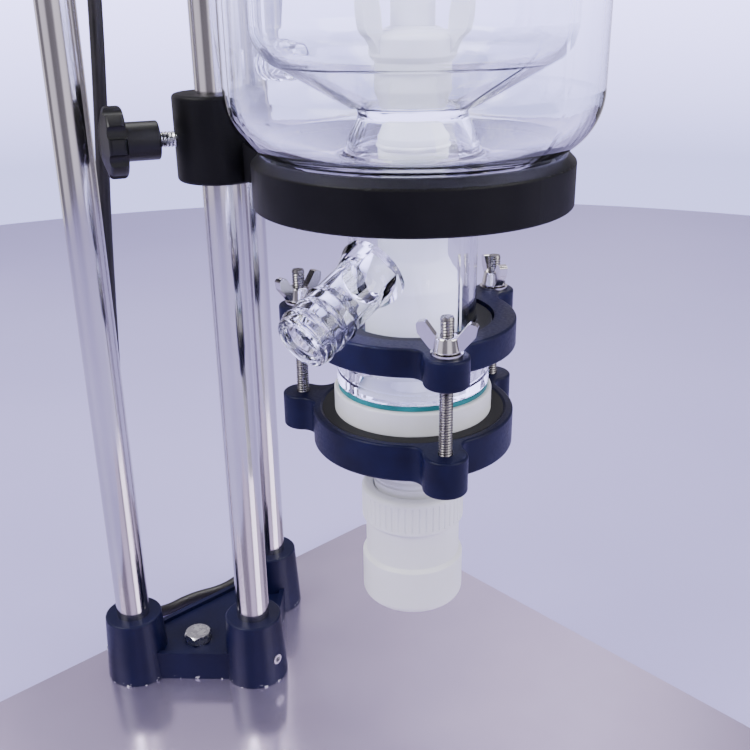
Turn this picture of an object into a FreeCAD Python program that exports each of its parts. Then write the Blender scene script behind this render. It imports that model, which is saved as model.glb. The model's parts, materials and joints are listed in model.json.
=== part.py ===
"""Bench-top jacketed glass reactor on a three-post stand, in millimetres, +Z up.

The origin is on the bench, under the middle of the base plate. The vessel hangs in a support
ring that is clamped to the front post, and its drain valve is held by a three-rod flange clamp.
"""
import FreeCAD, Part
import math
import os
import re

import Sketcher

Vector = FreeCAD.Vector
UP = Vector(0, 0, 1)
doc = FreeCAD.newDocument("jacketed_reactor")

# ------------------------------------------------------------------ driving dimensions
SIZES = {
    # base plate and feet
    "plate_length": 450, "plate_width": 440, "plate_thick": 8, "plate_corner": 14,
    "foot_height": 12, "foot_radius": 16, "foot_inset": 34,
    # three posts in a right-angled triangle
    "post_radius": 12.5, "post_wall": 2, "post_top": 872, "front_post_x": -120,
    "post_back": 66.6, "post_side": 66.6, "post_embed": 6, "cap_height": 4,
    "slide_gap": 0.05, "fit_gap": 0.2,
    # castings that join the posts
    "socket_base_radius": 24.5, "socket_top_radius": 21.4, "socket_height": 53, "socket_edge": 1.5,
    "web_height": 24, "web_margin": 13.5, "web_recess": 3, "web_lip": 4,
    "bolt_x": -40, "bolt_y": -27, "bolt_radius": 6, "bolt_across_flats": 19, "bolt_head": 7.5,
    "set_screw_radius": 4, "set_screw_height": 20, "hex_key": 4,
    "top_casting_z": 762, "top_casting_height": 34, "top_web_height": 14,
    # support boss, arm and ring
    "vessel_reach": 139.85, "vessel_angle": 17.5,
    "boss_radius": 27.3, "boss_height": 54, "boss_z": 410.4, "boss_edge": 2.5,
    "arm_width": 18, "arm_height": 24,
    "ring_radius": 92.3, "ring_inner": 81, "ring_z": 409, "ring_height": 29.4, "ring_bevel": 5,
    "liner_wall": 3, "ring_screw_radius": 3, "ring_screw_spacing": 12,
    # star knob that locks the boss
    "knob_angle": 247.5, "knob_screw_radius": 5, "knob_radius": 22, "knob_thick": 15,
    "knob_lobes": 8, "knob_groove": 5, "shank_radius": 12, "shank_length": 21, "knob_gap": 10,
    "pad_thick": 3,
    # glass vessel
    "glass_wall": 4, "vessel_radius": 89.7, "vessel_top": 655, "vessel_corner_z": 493,
    "vessel_corner": 24, "waist_radius": 30, "waist_z": 459, "waist_inner": 25,
    "neck_radius": 38.3, "neck_shoulder_z": 438, "neck_bottom": 298, "neck_bead_radius": 47,
    "neck_bead": 28,
    "jacket_radius": 105.3, "jacket_wall": 3.5, "jacket_top": 642, "jacket_corner_z": 447,
    "jacket_corner": 36, "jacket_foot_z": 423, "jacket_foot_radius": 43,
    "flange_radius": 112, "flange_thick": 13,
    # outlet from the neck
    "outlet_angle": -84.5, "outlet_root_z": 374, "outlet_reach": 95, "outlet_mouth_z": 347,
    "outlet_radius": 16.5, "outlet_bore": 12.5, "barb_rise": 1.6, "barb_pitch": 10, "barb_count": 3,
    "flare_length": 15,
    # jacket side arms
    "side_arm_angle": 182, "side_arm_low_z": 479, "side_arm_high_z": 622, "side_arm_radius": 9,
    "side_arm_bore": 6.5, "side_arm_reach": 140,
    # flange clamp round the drain
    "clamp_radius": 62.7, "clamp_hole": 52, "lower_clamp_z": 257.8, "lower_clamp_height": 23,
    "upper_clamp_z": 322.6, "upper_clamp_height": 17.7, "clamp_lip": 8,
    "lug_circle": 74, "lug_radius": 13, "lug_first_angle": -30.5, "lug_blend": 9, "clamp_edge": 1.6,
    "rod_radius": 4, "rod_sink": 1, "rod_above": 22, "lock_nut": 6.5, "lock_nut_flats": 13,
    "rod_washer_radius": 9, "rod_washer": 1.6, "wing_span": 17, "wing_hub": 8, "wing_hub_height": 9,
    "wing_height": 17, "wing_thick": 5.2, "thread_gap": 0.05, "stack_gap": 0.3,
    # drain valve
    "gasket_thick": 2.6, "valve_flange_radius": 48.9, "valve_flange": 16, "valve_flange_z": 279,
    "collar_radius": 25, "collar_z": 208, "plug_play": 5.3, "plug_tip_play": 4.2,
    "plug_shoulder_z": 361, "plug_top_z": 456, "stem_radius": 14,
    "valve_knob_radius": 33.1, "valve_knob_z": 143.9, "valve_knob_height": 82,
    "valve_knob_waist": 30.6, "waist_low": 33, "waist_high": 57, "valve_knob_wall": 5,
    "flutes": 48, "flute_radius": 0.9, "o_ring": 1.6,
    # stirrer
    "shaft_radius": 12.3, "shaft_top": 777, "hub_radius": 24.5, "hub_z": 463, "hub_top": 496,
    "prong_reach": 29, "prong_top": 525, "prong_width": 16, "prong_count": 3,
    # lid
    "seal_thick": 2, "lid_thick": 13, "lid_dome": 16, "lid_wall": 5, "lid_top": 735,
    "centre_neck": 24, "port_radius": 15, "port_bore": 11, "port_circle": 60, "port_top": 728,
    "port_count": 2, "port_first_angle": 100,
    "lid_clamp_radius": 121, "lid_clamp_gap": 6, "lid_clamp_lip": 9,
    "bearing_radius": 18, "bearing_collar": 26, "bearing_height": 24,
    "stopper_radius": 17, "stopper_height": 14,
    # coupling, motor and its arm
    "coupling_radius": 23, "coupling_half": 14, "jaw_height": 9, "jaw_gap": 0.6,
    "spindle_radius": 6, "motor_arm_z": 822, "motor_arm_height": 40,
    "motor_plate_radius": 50, "motor_plate": 12, "motor_radius": 44, "motor_height": 92,
    "motor_screw_radius": 2.5, "motor_screw_circle": 38,
    # controller on the rear post
    "box_depth": 62, "box_width": 104, "box_height": 128, "box_wall": 3, "box_z": 598,
    "box_corner": 6, "box_gap": 4, "cover_thick": 4, "dial_radius": 15, "dial_height": 14,
    "switch_width": 15, "switch_height": 21, 
    # motor lead
    "lead_radius": 4.8, "gland_radius": 10, "gland_length": 20,
}

sheet = doc.addObject("Spreadsheet::Sheet", "Sizes")
for row, (alias, amount) in enumerate(SIZES.items(), start=1):
    sheet.set("A%d" % row, alias)
    sheet.set("B%d" % row, repr(amount))
    sheet.setAlias("B%d" % row, alias)
doc.recompute()

NAMES = re.compile(r"\b(" + "|".join(SIZES) + r")\b")
nodes = []


def bind(text):
    """An expression whose words are the sheet's aliases."""
    return NAMES.sub(r"Sizes.\1", str(text))


def size(text):
    """The present value of such an expression."""
    return float(doc.Sizes.evalExpression(NAMES.sub(r".\1", str(text))))


def keep(item, name):
    item.Label = name
    nodes.append(item)
    return item


def place(item, x="0", y="0", z="0"):
    for axis, text in zip("xyz", (x, y, z)):
        item.setExpression("Placement.Base." + axis, bind(text))
    return item


# ------------------------------------------------------------------ shared places
PLATE_TOP = "foot_height + plate_thick"
REAR_X = "front_post_x - post_back"
VESSEL_X = "front_post_x + vessel_reach * cos(vessel_angle)"
VESSEL_Y = "vessel_reach * sin(vessel_angle)"
POSTS = {"left": (REAR_X, "-post_side"), "front": ("front_post_x", "0"), "rear": (REAR_X, "post_side")}
vessel = Vector(size(VESSEL_X), size(VESSEL_Y), 0)
posts = {name: Vector(size(x), size(y), 0) for name, (x, y) in POSTS.items()}


# ------------------------------------------------------------------ builders
def origin_plane(body, role):
    return next(item for item in body.Origin.OriginFeatures if item.Role == role)


def bound_outline(sketch, points):
    """A closed chain of lines whose corners are tied to expressions."""
    corners = [Vector(size(across), size(along), 0) for across, along in points]
    for start, end in zip(corners, corners[1:] + corners[:1]):
        sketch.addGeometry(Part.LineSegment(start, end))
    for index, (across, along) in enumerate(points):
        sketch.addConstraint(Sketcher.Constraint("Coincident", index - 1 if index else len(points) - 1,
                                                 2, index, 1))
        for kind, text in (("DistanceX", across), ("DistanceY", along)):
            number = sketch.addConstraint(Sketcher.Constraint(kind, -1, 1, index, 1, size(text)))
            sketch.setExpression("Constraints[%d]" % number, bind(text))


def new_sketch(body, role, name="Outline"):
    sketch = body.newObject("Sketcher::SketchObject", name)
    sketch.AttachmentSupport = [(origin_plane(body, role), "")]
    sketch.MapMode = "FlatFace"
    return sketch


def turned(name, points, x="0", y="0", z="0"):
    """A body turned about its own vertical axis from a half section of (radius, height) corners."""
    body = doc.addObject("PartDesign::Body", name + "_body")
    sketch = new_sketch(body, "XZ_Plane")
    bound_outline(sketch, points)
    turn = body.newObject("PartDesign::Revolution", "Turn")
    turn.Profile = sketch
    turn.ReferenceAxis = (sketch, ["V_Axis"])
    turn.Angle = 360
    doc.recompute()
    place(body, x, y, z)
    return keep(body, name)


def padded(name, points, height, x="0", y="0", z="0"):
    """A body padded upwards from an outline of (x, y) corners."""
    body = doc.addObject("PartDesign::Body", name + "_body")
    sketch = new_sketch(body, "XY_Plane")
    bound_outline(sketch, points)
    pad = body.newObject("PartDesign::Pad", "Pad")
    pad.Profile = sketch
    pad.setExpression("Length", bind(height))
    doc.recompute()
    place(body, x, y, z)
    return keep(body, name)


def round_edges(body, radius, wanted):
    """Rounds the edges of the body's last feature that pass the test."""
    doc.recompute()
    base = body.Tip
    picked = ["Edge%d" % (i + 1) for i, edge in enumerate(base.Shape.Edges) if wanted(edge)]
    fillet = body.newObject("PartDesign::Fillet", "Rounding")
    fillet.Base = (base, picked)
    fillet.setExpression("Radius", bind(radius))
    doc.recompute()


def drill(body, role, spots, radius, direction_reversed=False):
    """Round holes straight through a body, at (x, y) spots in one sketch."""
    doc.recompute()
    before = body.Shape.Volume
    sketch = new_sketch(body, role, "Holes")
    for index, (across, along) in enumerate(spots):
        circle = Part.Circle(Vector(size(across), size(along), 0), UP, size(radius))
        sketch.addGeometry(circle)
        for kind, text in (("DistanceX", across), ("DistanceY", along)):
            number = sketch.addConstraint(Sketcher.Constraint(kind, -1, 1, index, 3, size(text)))
            sketch.setExpression("Constraints[%d]" % number, bind(text))
        number = sketch.addConstraint(Sketcher.Constraint("Radius", index, size(radius)))
        sketch.setExpression("Constraints[%d]" % number, bind(radius))
    pocket = body.newObject("PartDesign::Pocket", "Drill")
    pocket.Profile = sketch
    pocket.Type = "ThroughAll"
    pocket.Midplane = True
    doc.recompute()
    if body.Shape.Volume >= before:
        raise RuntimeError("the drill missed " + body.Label)


def solid(name, shape):
    """A sub-part whose shape comes from Part's own functions."""
    item = doc.addObject("Part::Feature", name + "_shape")
    item.Shape = shape.removeSplitter() if len(shape.Solids) == 1 else shape
    return keep(item, name)


def rounded_half_section(corners):
    """A face in the XZ plane from (radius, height, rounding) corners."""
    points = [Vector(c[0], 0, c[1]) for c in corners]
    rounding = [c[2] if len(c) > 2 else 0 for c in corners]
    starts, ends, arcs = [], [], []
    for i, corner in enumerate(points):
        back = (points[i - 1] - corner)
        ahead = (points[(i + 1) % len(points)] - corner)
        if not rounding[i]:
            starts.append(corner)
            ends.append(corner)
            arcs.append(None)
            continue
        half = back.getAngle(ahead) / 2
        reach = rounding[i] / math.tan(half)
        first = corner + back.normalize() * reach
        last = corner + ahead.normalize() * reach
        inward = (back + ahead).normalize()
        middle = corner + inward * (rounding[i] / math.sin(half) - rounding[i])
        starts.append(first)
        ends.append(last)
        arcs.append(Part.Arc(first, middle, last).toShape())
    edges = []
    for i in range(len(points)):
        if arcs[i]:
            edges.append(arcs[i])
        begin, finish = ends[i], starts[(i + 1) % len(points)]
        if begin.distanceToPoint(finish) > 1e-6:
            edges.append(Part.LineSegment(begin, finish).toShape())
    return Part.Face(Part.Wire(edges))


def spun(corners, centre=Vector(0, 0, 0)):
    """The rounded half section turned about the vertical line through centre."""
    shape = rounded_half_section(corners).revolve(Vector(0, 0, 0), UP, 360)
    shape.translate(centre)
    return shape


def rod(radius, start, end):
    return Part.makeCylinder(radius, (end - start).Length, start, end - start)


def tube(outer, inner, start, end):
    return rod(outer, start, end).cut(rod(inner, start, end))


def polar(angle, reach, height=0, centre=Vector(0, 0, 0)):
    turn = math.radians(angle)
    return centre + Vector(reach * math.cos(turn), reach * math.sin(turn), height)


def hexagon(across_flats, height, base, direction=UP, twist=0):
    corner = across_flats / math.sqrt(3)
    ring = [polar(60 * i + twist, corner) for i in range(7)]
    prism = Part.Face(Part.makePolygon(ring)).extrude(Vector(0, 0, height))
    prism.Placement = FreeCAD.Placement(base, FreeCAD.Rotation(UP, direction))
    return prism


def vertical(edge):
    return len(edge.Vertexes) == 2 and abs(edge.tangentAt(edge.FirstParameter).z) > 0.999


# ------------------------------------------------------------------ base plate, feet, bolt
BOLT_X = "front_post_x + bolt_x"
half_l, half_w = "plate_length / 2", "plate_width / 2"
base_plate = padded("base_plate",
                    [("-" + half_l, "-" + half_w), (half_l, "-" + half_w), (half_l, half_w),
                     ("-" + half_l, half_w)], "plate_thick", z="foot_height")
round_edges(base_plate, "plate_corner", vertical)
drill(base_plate, "XY_Plane", [(BOLT_X, "bolt_y")], "bolt_radius + slide_gap")

feet = []
for side_x in ("-", ""):
    for side_y in ("-", ""):
        foot = doc.addObject("Part::Cone", "foot")
        foot.setExpression("Radius1", bind("foot_radius - 2"))
        foot.setExpression("Radius2", bind("foot_radius"))
        foot.setExpression("Height", bind("foot_height"))
        place(foot, side_x + "(plate_length / 2 - foot_inset)", side_y + "(plate_width / 2 - foot_inset)")
        feet.append(foot)
group = doc.addObject("Part::Compound", "feet_group")
group.Links = feet
keep(group, "base_feet")


# ------------------------------------------------------------------ castings
def web_outline(margin):
    """The rounded triangle round the three posts."""
    order = [posts["left"], posts["front"], posts["rear"]]
    edges = []
    for i in range(3):
        here, there, behind = order[i], order[(i + 1) % 3], order[i - 1]
        out_next = (there - here).cross(UP).normalize() * margin
        out_last = (here - behind).cross(UP).normalize() * margin
        bulge = (out_next + out_last).normalize() * margin
        edges.append(Part.Arc(here + out_last, here + bulge, here + out_next).toShape())
        edges.append(Part.LineSegment(here + out_next, there + out_next).toShape())
    return Part.Face(Part.Wire(edges))


def casting(height, low_radius, high_radius, web_height, margin, bore_from):
    """Three tapered sockets joined by a triangular web with a recessed top, standing on z = 0."""
    edge = size("socket_edge")
    shape = web_outline(margin).extrude(Vector(0, 0, web_height))
    recess = web_outline(margin - size("web_lip")).extrude(Vector(0, 0, web_height))
    recess.translate(Vector(0, 0, web_height - size("web_recess")))
    shape = shape.cut(recess)
    for post in posts.values():
        socket = spun([(0, 0), (low_radius, 0), (high_radius, height, edge), (0, height)], post)
        shape = shape.fuse(socket)
    for post in posts.values():
        top = post + Vector(0, 0, height + 1)
        shape = shape.cut(rod(size("post_radius + slide_gap"), post + Vector(0, 0, bore_from), top))
    return shape


BASE = size(PLATE_TOP)
bolt_at = Vector(size(BOLT_X), size("bolt_y"), 0)
bolt_floor = BASE + size("web_height - web_recess")
KEY_HEIGHT = BASE + size("set_screw_height")
KEY_ANGLES = {"left": 225, "front": 10, "rear": 135}


def set_screw(name, height, socket_radius):
    """A grub screw that presses on a post, flush with its socket, and the hole for it."""
    outward = polar(KEY_ANGLES[name], 1)
    inner = posts[name] + outward * size("post_radius + fit_gap") + Vector(0, 0, height)
    outer = posts[name] + outward * (socket_radius + 0.4) + Vector(0, 0, height)
    screw = rod(size("set_screw_radius"), inner, outer)
    key = hexagon(size("hex_key"), 4, outer - outward * 3, outward)
    hole = rod(size("set_screw_radius + slide_gap"), posts[name] + Vector(0, 0, height), outer + outward * 9)
    return screw.cut(key), hole


base_shape = casting(size("socket_height"), size("socket_base_radius"), size("socket_top_radius"),
                     size("web_height"), size("web_margin"), size("post_embed"))
base_shape.translate(Vector(0, 0, BASE))
base_shape = base_shape.cut(rod(size("bolt_radius + slide_gap"), bolt_at, bolt_at + UP * bolt_floor * 2))
low_screws = []
for name in posts:
    screw, hole = set_screw(name, KEY_HEIGHT, size("socket_base_radius") - 1.2)
    low_screws.append(screw)
    base_shape = base_shape.cut(hole)
solid("base_casting", base_shape)

top_z = size("top_casting_z")
top_shape = casting(size("top_casting_height"), size("socket_top_radius"), size("socket_top_radius"),
                    size("top_web_height"), size("web_margin"), -1)
top_shape.translate(Vector(0, 0, top_z))
high_screws = []
for name in posts:
    screw, hole = set_screw(name, top_z + size("top_casting_height") / 2 + 4, size("socket_top_radius"))
    high_screws.append(screw)
    top_shape = top_shape.cut(hole)
solid("top_casting", top_shape)
solid("set_screws", Part.makeCompound(low_screws + high_screws))

head_base = bolt_floor
head = hexagon(size("bolt_across_flats"), size("bolt_head"), bolt_at + UP * head_base, UP, 12)
dish = spun([(0, 0), (size("bolt_across_flats") / 2, 0), (size("bolt_across_flats") * 0.58, 1.6),
             (size("bolt_across_flats") * 0.58, size("bolt_head") - 1.6),
             (size("bolt_across_flats") / 2, size("bolt_head")), (0, size("bolt_head"))],
            bolt_at + UP * head_base)
shank = rod(size("bolt_radius"), bolt_at + UP * size("foot_height"), bolt_at + UP * head_base)
solid("base_bolt", head.common(dish).fuse(shank))

# ------------------------------------------------------------------ posts and caps
for name, (post_x, post_y) in POSTS.items():
    turned(name + "_post", [("post_radius - post_wall", "0"), ("post_radius", "0"),
                            ("post_radius", "post_top - foot_height - plate_thick - post_embed"),
                            ("post_radius - post_wall", "post_top - foot_height - plate_thick - post_embed")],
           post_x, post_y, PLATE_TOP + " + post_embed")
caps = []
for post in posts.values():
    inner = size("post_radius - post_wall - slide_gap")
    caps.append(spun([(0, -12), (inner, -12), (inner, 0), (size("post_radius"), 0),
                      (size("post_radius"), size("cap_height"), 2), (0, size("cap_height"))],
                     post + UP * size("post_top")))
solid("post_caps", Part.makeCompound(caps))

# ------------------------------------------------------------------ support boss, arm, ring, liner
boss_axis = posts["front"]
toward = polar(size("vessel_angle"), 1)
boss_mid = size("boss_z + boss_height / 2")
boss = spun([(0, 0), (size("boss_radius"), 0, size("boss_edge")),
             (size("boss_radius"), size("boss_height"), size("boss_edge")), (0, size("boss_height"))],
            boss_axis + UP * size("boss_z"))
arm = Part.makeBox(size("vessel_reach"), size("arm_width"), size("arm_height"),
                   Vector(0, -size("arm_width") / 2, size("ring_z + (ring_height - arm_height) / 2")))
arm.Placement = FreeCAD.Placement(boss_axis, FreeCAD.Rotation(UP, size("vessel_angle")))
arm = arm.cut(rod(size("ring_radius + fit_gap"), vessel, vessel + UP * 900))
boss = boss.fuse(arm)
boss = boss.cut(rod(size("post_radius + slide_gap"), boss_axis, boss_axis + UP * 900))
out = polar(size("knob_angle"), 1)
screw_line = boss_axis + UP * boss_mid
boss = boss.cut(rod(size("knob_screw_radius + thread_gap"), screw_line, screw_line + out * 60))
ring_profile = [(size("ring_inner"), 0), (size("ring_radius"), 0, 1),
                (size("ring_radius"), size("ring_height - ring_bevel"), 2),
                (size("ring_radius - ring_bevel"), size("ring_height"), 2),
                (size("ring_inner + ring_bevel"), size("ring_height"), 1.5),
                (size("ring_inner"), size("ring_height - ring_bevel"), 1.5)]
ring = spun(ring_profile, vessel + UP * size("ring_z"))
ring_screws = []
for side in (-0.5, 0.5):
    line = vessel + UP * (size("ring_z + ring_height / 2") + side * size("ring_screw_spacing"))
    near = line - toward * size("ring_inner + 1")
    far = line - toward * size("ring_radius + 11")
    ring_screws.append(rod(size("ring_screw_radius"), near, far)
                       .fuse(rod(size("ring_screw_radius") * 1.7, near, near - toward * 3)))
    gap = size("slide_gap")
    hole = rod(size("ring_screw_radius") + gap, near + toward * 3, far - toward)
    sink = rod(size("ring_screw_radius") * 1.7 + gap, near + toward * 3, near - toward * (3 + gap))
    ring = ring.cut(hole).cut(sink)
    boss = boss.cut(hole)
solid("support_boss", boss)
solid("support_ring", ring)
solid("ring_screws", Part.makeCompound(ring_screws))
liner_outer = size("ring_inner - fit_gap")
solid("ring_liner", spun([(liner_outer - size("liner_wall"), 0), (liner_outer, 0),
                          (liner_outer, size("ring_height - ring_bevel - 1")),
                          (liner_outer - size("liner_wall"), size("ring_height - ring_bevel - 1"))],
                         vessel + UP * size("ring_z")))

# ------------------------------------------------------------------ star knob and its screw
pad_start = size("post_radius + fit_gap")
pad_end = pad_start + size("pad_thick")
solid("clamp_pad", rod(size("knob_screw_radius") - 0.4, screw_line + out * pad_start, screw_line + out * pad_end))
shank_start = size("boss_radius + knob_gap")
disc_start = shank_start + size("shank_length")
disc_end = disc_start + size("knob_thick")
solid("clamp_screw", rod(size("knob_screw_radius"), screw_line + out * (pad_end + 0.2),
                         screw_line + out * disc_start))
star = spun([(0, 0), (size("shank_radius"), 0, 1.5), (size("shank_radius"), size("shank_length")),
             (size("knob_radius"), size("shank_length"), 3),
             (size("knob_radius"), size("shank_length + knob_thick - 4"), 2.5),
             (9, size("shank_length + knob_thick")), (0, size("shank_length + knob_thick"))])
for i in range(int(size("knob_lobes"))):
    spot = polar(i * 360 / size("knob_lobes"), size("knob_radius + knob_groove * 0.45"))
    star = star.cut(rod(size("knob_groove"), spot + UP * size("shank_length - 1"),
                        spot + UP * size("shank_length + knob_thick + 1")))
star = star.cut(rod(size("knob_screw_radius + slide_gap"), Vector(0, 0, -1),
                    Vector(0, 0, size("shank_length + slide_gap"))))
star.Placement = FreeCAD.Placement(screw_line + out * shank_start, FreeCAD.Rotation(UP, out))
solid("clamp_knob", star)

# ------------------------------------------------------------------ glass vessel and jacket
wall = size("glass_wall")
outer = size("vessel_radius")
inner = outer - wall
vessel_top = size("vessel_top")
flange_top = vessel_top + size("flange_thick")
neck = size("neck_radius")
bead_top = size("neck_bottom + neck_bead")
glass = spun([
    (inner, flange_top), (inner, size("vessel_corner_z") + 2, size("vessel_corner") - wall),
    (size("waist_inner"), size("waist_z") + 2, 5), (neck - wall, size("neck_shoulder_z") - 2, 7),
    (neck - wall, size("neck_bottom")), (size("neck_bead_radius"), size("neck_bottom"), 2),
    (size("neck_bead_radius"), bead_top - 12, 3), (neck, bead_top, 6),
    (neck, size("neck_shoulder_z"), 8), (size("waist_radius"), size("waist_z"), 6),
    (outer, size("vessel_corner_z"), size("vessel_corner")), (outer, vessel_top, 4),
    (size("flange_radius"), vessel_top, 4), (size("flange_radius"), flange_top, 1)], vessel)

root = polar(size("outlet_angle"), neck - wall, size("outlet_root_z"), vessel)
mouth = polar(size("outlet_angle"), size("outlet_reach"), size("outlet_mouth_z"), vessel)
along = (mouth - root).normalize()
reach = (mouth - root).Length
tube_r = size("outlet_radius")
crest = size("outlet_radius + barb_rise")
outline = [(0, 0), (tube_r + 5, 0), (tube_r + 5, 3, 2), (tube_r, size("flare_length"), 9)]
for i in range(int(size("barb_count"))):
    start = reach - size("barb_pitch") * (size("barb_count") - i) - 1
    outline.append((tube_r, start, 3))
    outline.append((crest, start + size("barb_pitch") * 0.45, 3))
outline.append((tube_r, reach - 2.5, 3))
outline.append((tube_r, reach, 1.9))
outline.append((0, reach))
outlet = spun(outline)
outlet.Placement = FreeCAD.Placement(root, FreeCAD.Rotation(UP, along))
outlet = outlet.cut(rod(neck - 0.5, vessel, vessel + UP * 600))
glass = glass.fuse(outlet).cut(rod(size("outlet_bore"), root - along * wall * 2, mouth + along))
solid("inner_vessel", glass)

thin = size("jacket_wall")
jr = size("jacket_radius")
foot_r = size("jacket_foot_radius")
foot_z = size("jacket_foot_z")
jacket_top = size("jacket_top")
near_neck = neck + size("fit_gap")
near_body = outer + size("fit_gap")
jacket = spun([
    (near_body, jacket_top - thin), (jr - thin, jacket_top - thin, 8),
    (jr - thin, size("jacket_corner_z") + thin, size("jacket_corner") - thin),
    (foot_r, foot_z + thin + 1, 4), (near_neck + 1.5, foot_z + thin + 6), (near_neck, foot_z + thin + 6),
    (near_neck, foot_z - 3), (near_neck + 2, foot_z - 3, 1), (foot_r + 2, foot_z, 5),
    (jr, size("jacket_corner_z"), size("jacket_corner")), (jr, jacket_top, 12), (near_body, jacket_top)],
    vessel)
arm_angle = size("side_arm_angle")
for height in (size("side_arm_low_z"), size("side_arm_high_z")):
    start = polar(arm_angle, jr - thin / 2, height, vessel)
    end = polar(arm_angle, size("side_arm_reach"), height, vessel)
    aim = (end - start).normalize()
    nozzle = rod(size("side_arm_radius"), start, end)
    for i in range(3):
        tip = end - aim * (6 * (i + 1) + 1)
        nozzle = nozzle.fuse(Part.makeCone(size("side_arm_radius + 1.6"), size("side_arm_radius"), 5, tip, aim))
    jacket = jacket.fuse(nozzle).cut(rod(size("side_arm_bore"), start - aim * 6, end + aim))
solid("jacket", jacket)


# ------------------------------------------------------------------ flange clamp round the drain
def clamp_outline():
    """A circle with three round lugs, each joined to it by a concave arc on either side."""
    ring_r, lug_r, blend = size("clamp_radius"), size("lug_radius"), size("lug_blend")
    lug_at = size("lug_circle")
    apart = ((ring_r + blend) ** 2 + lug_at ** 2 - (lug_r + blend) ** 2) / (2 * (ring_r + blend) * lug_at)
    swing = math.degrees(math.acos(apart))
    edges = []
    for i in range(3):
        angle = size("lug_first_angle") + 120 * i
        lug = polar(angle, lug_at)
        ends = []
        for side in (-1, 1):
            hollow = polar(angle + side * swing, ring_r + blend)
            on_ring = polar(angle + side * swing, ring_r)
            on_lug = lug + (hollow - lug).normalize() * lug_r
            pull = ((on_ring - hollow) + (on_lug - hollow)).normalize() * blend
            ends.append((on_ring, hollow + pull, on_lug))
        edges.append(Part.Arc(*ends[0]).toShape())
        edges.append(Part.Arc(ends[0][2], lug + polar(angle, lug_r), ends[1][2]).toShape())
        edges.append(Part.Arc(ends[1][2], ends[1][1], ends[1][0]).toShape())
        onward = polar(angle + 120 - swing, ring_r)
        edges.append(Part.Arc(ends[1][0], polar(angle + 60, ring_r), onward).toShape())
    return Part.Face(Part.Wire(edges))


def clamp_ring(z, height, hole_low, hole_high, sink):
    """A flat ring with three lugs, rounded along its rims, with an opening that may taper."""
    block = clamp_outline().extrude(Vector(0, 0, height))
    block = block.makeFillet(size("clamp_edge"), [e for e in block.Edges if not vertical(e)])
    opening = spun([(0, -1), (hole_low, -1), (hole_low, height / 2), (hole_high, height + 1), (0, height + 1)])
    block = block.cut(opening)
    for i in range(3):
        centre = polar(size("lug_first_angle") + 120 * i, size("lug_circle"))
        block = block.cut(rod(size("rod_radius + thread_gap * 5"), centre - UP, centre + UP * (height + 1)))
        block = block.cut(rod(size("lock_nut_flats") * 0.6, centre - UP, centre + UP * sink))
    block.translate(vessel + UP * z)
    return block


lug_angles = [size("lug_first_angle") + 120 * i for i in range(3)]
low_z = size("lower_clamp_z")
low_top = low_z + size("lower_clamp_height")
high_z = size("upper_clamp_z")
high_top = high_z + size("upper_clamp_height")
hole_radius = size("clamp_hole")
lip = size("clamp_lip")
nut_top = size("rod_sink + lock_nut")
solid("lower_clamp_ring", clamp_ring(low_z, size("lower_clamp_height"), hole_radius - 14, hole_radius + lip,
                                     nut_top + size("stack_gap")))
solid("upper_clamp_ring", clamp_ring(high_z, size("upper_clamp_height"), hole_radius, hole_radius - 3, 0))
flange_z = size("valve_flange_z")
flange_r = size("valve_flange_radius")
cup_gap = size("fit_gap")
solid("lower_clamp_liner", spun([
    (hole_radius - 18, low_z + 2), (hole_radius - 14 - cup_gap, low_z + 2),
    (hole_radius - 14 - cup_gap, low_z + size("lower_clamp_height") / 2 + 0.3),
    (hole_radius + lip - 3.2, low_top - 0.6), (flange_r + 0.4, low_top - 0.6), (flange_r + 0.4, flange_z - cup_gap),
    (flange_r - 14, flange_z - cup_gap), (hole_radius - 18, low_z + 12)], vessel))
solid("upper_clamp_liner", spun([
    (neck + 0.6, bead_top + 2.4), (neck + 3, high_z + 0.4), (hole_radius - cup_gap - 0.8, high_z + 0.4),
    (hole_radius - 4, high_top - 2), (neck + 0.6, high_top - 2)],
    vessel))
gasket_base = flange_z + size("valve_flange")
turned("drain_gasket", [("neck_radius - glass_wall + 1", "0"), ("neck_bead_radius - 0.6", "0"),
                        ("neck_bead_radius - 0.6", "gasket_thick"),
                        ("neck_radius - glass_wall + 1", "gasket_thick")],
       VESSEL_X, VESSEL_Y, "valve_flange_z + valve_flange + fit_gap")

rods = []
lock_nuts = []
for angle in lug_angles:
    centre = polar(angle, size("lug_circle"), 0, vessel)
    rods.append(rod(size("rod_radius"), centre + UP * (low_z + size("rod_sink")),
                    centre + UP * (high_top + size("rod_above"))))
    nut = hexagon(size("lock_nut_flats"), size("lock_nut"), centre + UP * (low_z + size("rod_sink")))
    lock_nuts.append(nut.cut(rod(size("rod_radius + slide_gap"), centre, centre + UP * 900)))
solid("clamp_rods", Part.makeCompound(rods + lock_nuts))


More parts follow.
